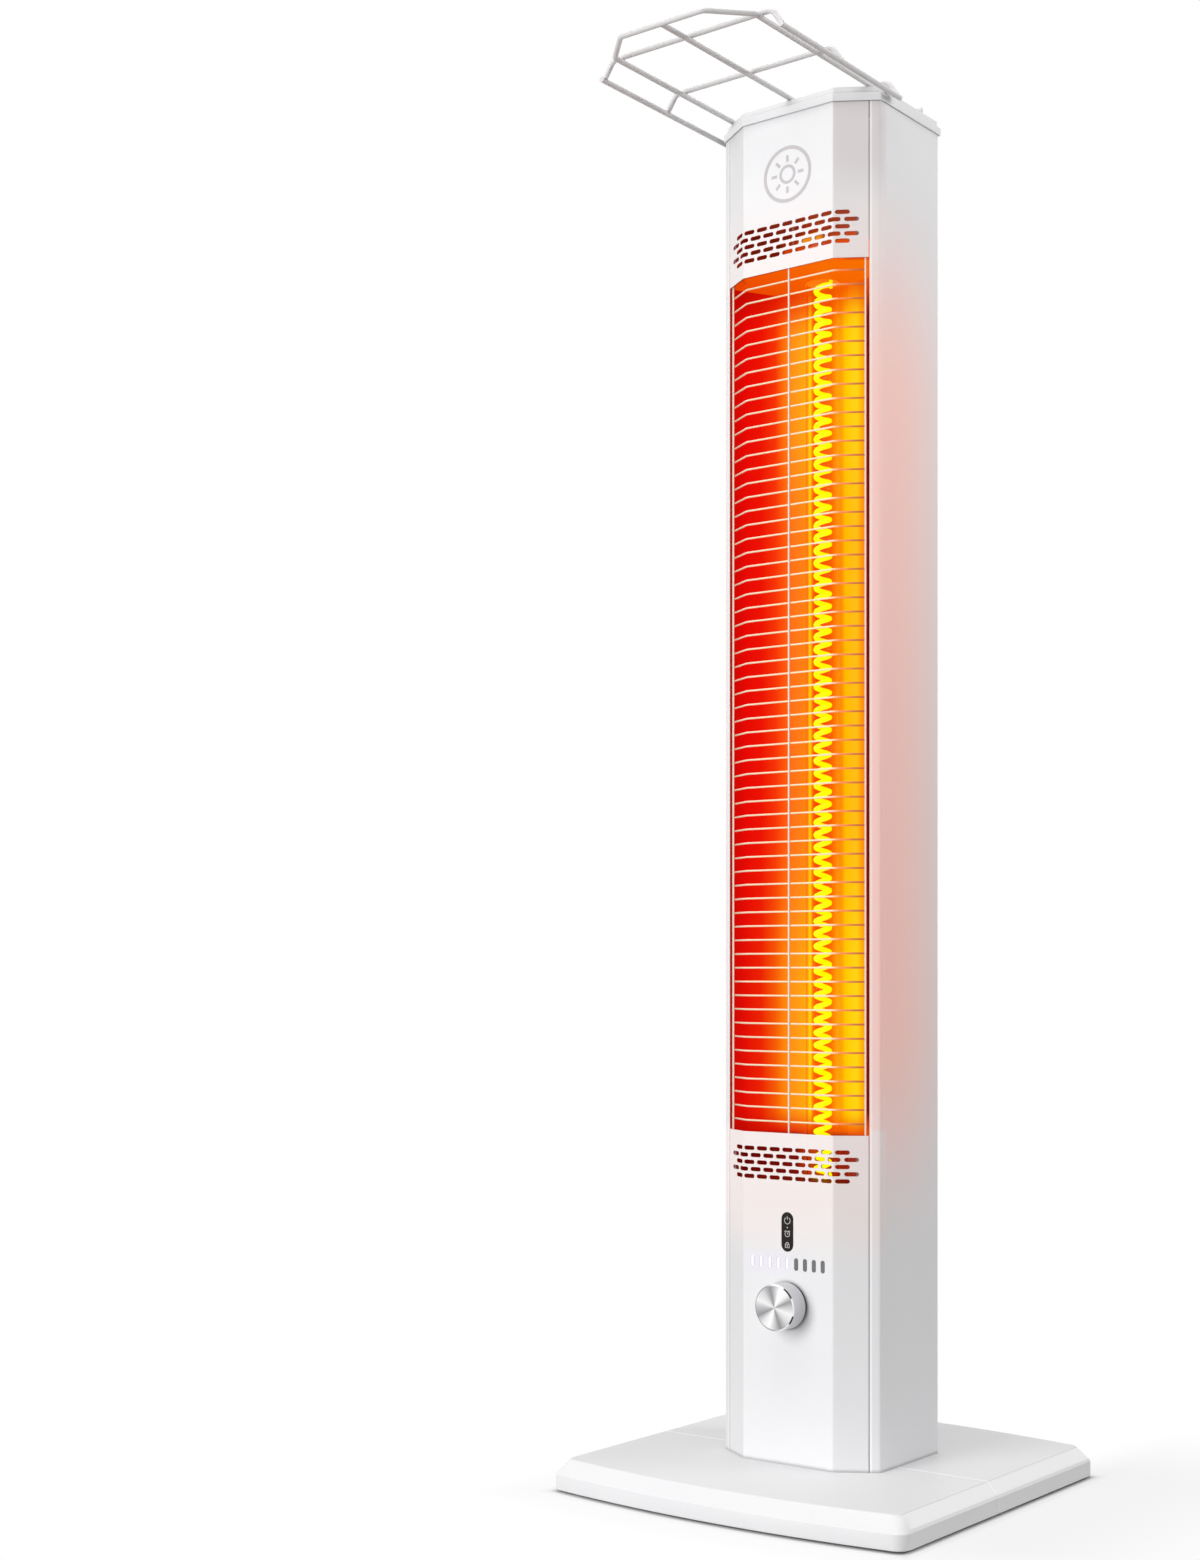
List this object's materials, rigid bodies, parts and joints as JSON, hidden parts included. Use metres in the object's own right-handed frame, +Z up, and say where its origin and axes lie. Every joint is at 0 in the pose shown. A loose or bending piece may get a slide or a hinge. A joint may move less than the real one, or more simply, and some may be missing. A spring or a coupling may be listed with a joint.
{
  "type": "infrared patio heater",
  "caption": "Upright electric infrared heater on a bevelled base, with a wire guard over a heating tube, a knob and level bars in front, and a folding wire drying rack on its cap.",
  "frame": {"origin": "on the floor under the middle of the tower", "axes": "+Z up, -Y towards the front with the heating window, +X to the right of someone who faces the front"},
  "size_m": [0.2824, 0.3503, 0.9789],
  "materials": {
    "white_shell": "fine satin moulding",
    "white_paint": "smooth white powder coat",
    "white_wire": "white powder coat on wire",
    "plated_steel": "zinc plated",
    "foot_rubber": "matte rubber",
    "reflector_metal": "bright rolled sheet, lit orange by the element",
    "quartz": "clear quartz",
    "cap_ceramic": "unglazed ceramic",
    "glowing_coil": "carbon strand, glowing",
    "dark_lens": "smoked acrylic",
    "lit_lens": "frosted acrylic, lit",
    "board_green": "solder mask",
    "dark_trim": "black moulding",
    "knob_metal": "turned satin",
    "sink_metal": "extruded"
  },
  "bodies": {
    "heater": {"base_front": "white_shell", "base_rear": "white_shell", "base_tie_plate": "plated_steel", "base_floor_pan": "plated_steel", "corner_feet": "foot_rubber", "centre_pad": "foot_rubber", "base_screws": "plated_steel", "tower_foot": "plated_steel", "rear_housing": "white_paint", "upper_front_panel": "white_paint", "lower_front_panel": "white_paint", "housing_screws": "plated_steel", "top_cap": "white_shell", "guard_uprights": "white_wire", "guard_wires": "white_wire", "reflector": "reflector_metal", "upper_end_plate": "reflector_metal", "lower_end_plate": "reflector_metal", "quartz_tube": "quartz", "upper_tube_cap": "cap_ceramic", "lower_tube_cap": "cap_ceramic", "heating_coil": "glowing_coil", "coil_terminals": "plated_steel", "overheat_cutout": "cap_ceramic", "display_window": "dark_lens", "level_lenses_lit": "lit_lens", "level_lenses_unlit": "dark_lens", "control_board": "board_green", "control_posts": "plated_steel", "encoder_body": "plated_steel", "knob_collar": "dark_trim", "power_board": "board_green", "power_posts": "plated_steel", "heat_sink": "sink_metal", "terminal_block": "dark_trim", "tilt_switch": "dark_trim", "cord_gland": "dark_trim", "rack_saddles": "white_shell", "saddle_screws": "plated_steel"},
    "rack": {"rack_loop": "white_wire", "rack_centre_wire": "white_wire", "rack_cross_wires": "white_wire", "rack_side_rails": "white_wire", "rack_pivot_rod": "white_wire"},
    "knob": {"knob_body": "knob_metal", "knob_face": "knob_metal", "knob_shaft": "plated_steel"}
  },
  "joints": [
    {"name": "rack_fold", "type": "hinge", "parent": "heater", "child": "rack", "pos_m": [0, 0.036, 0.9744], "axis": [-1, 0, 0], "range_deg": [0, 205]},
    {"name": "knob_turn", "type": "hinge", "parent": "heater", "child": "knob", "pos_m": [0, -0.0495, 0.1333], "axis": [0, -1, 0], "continuous": true}
  ]
}
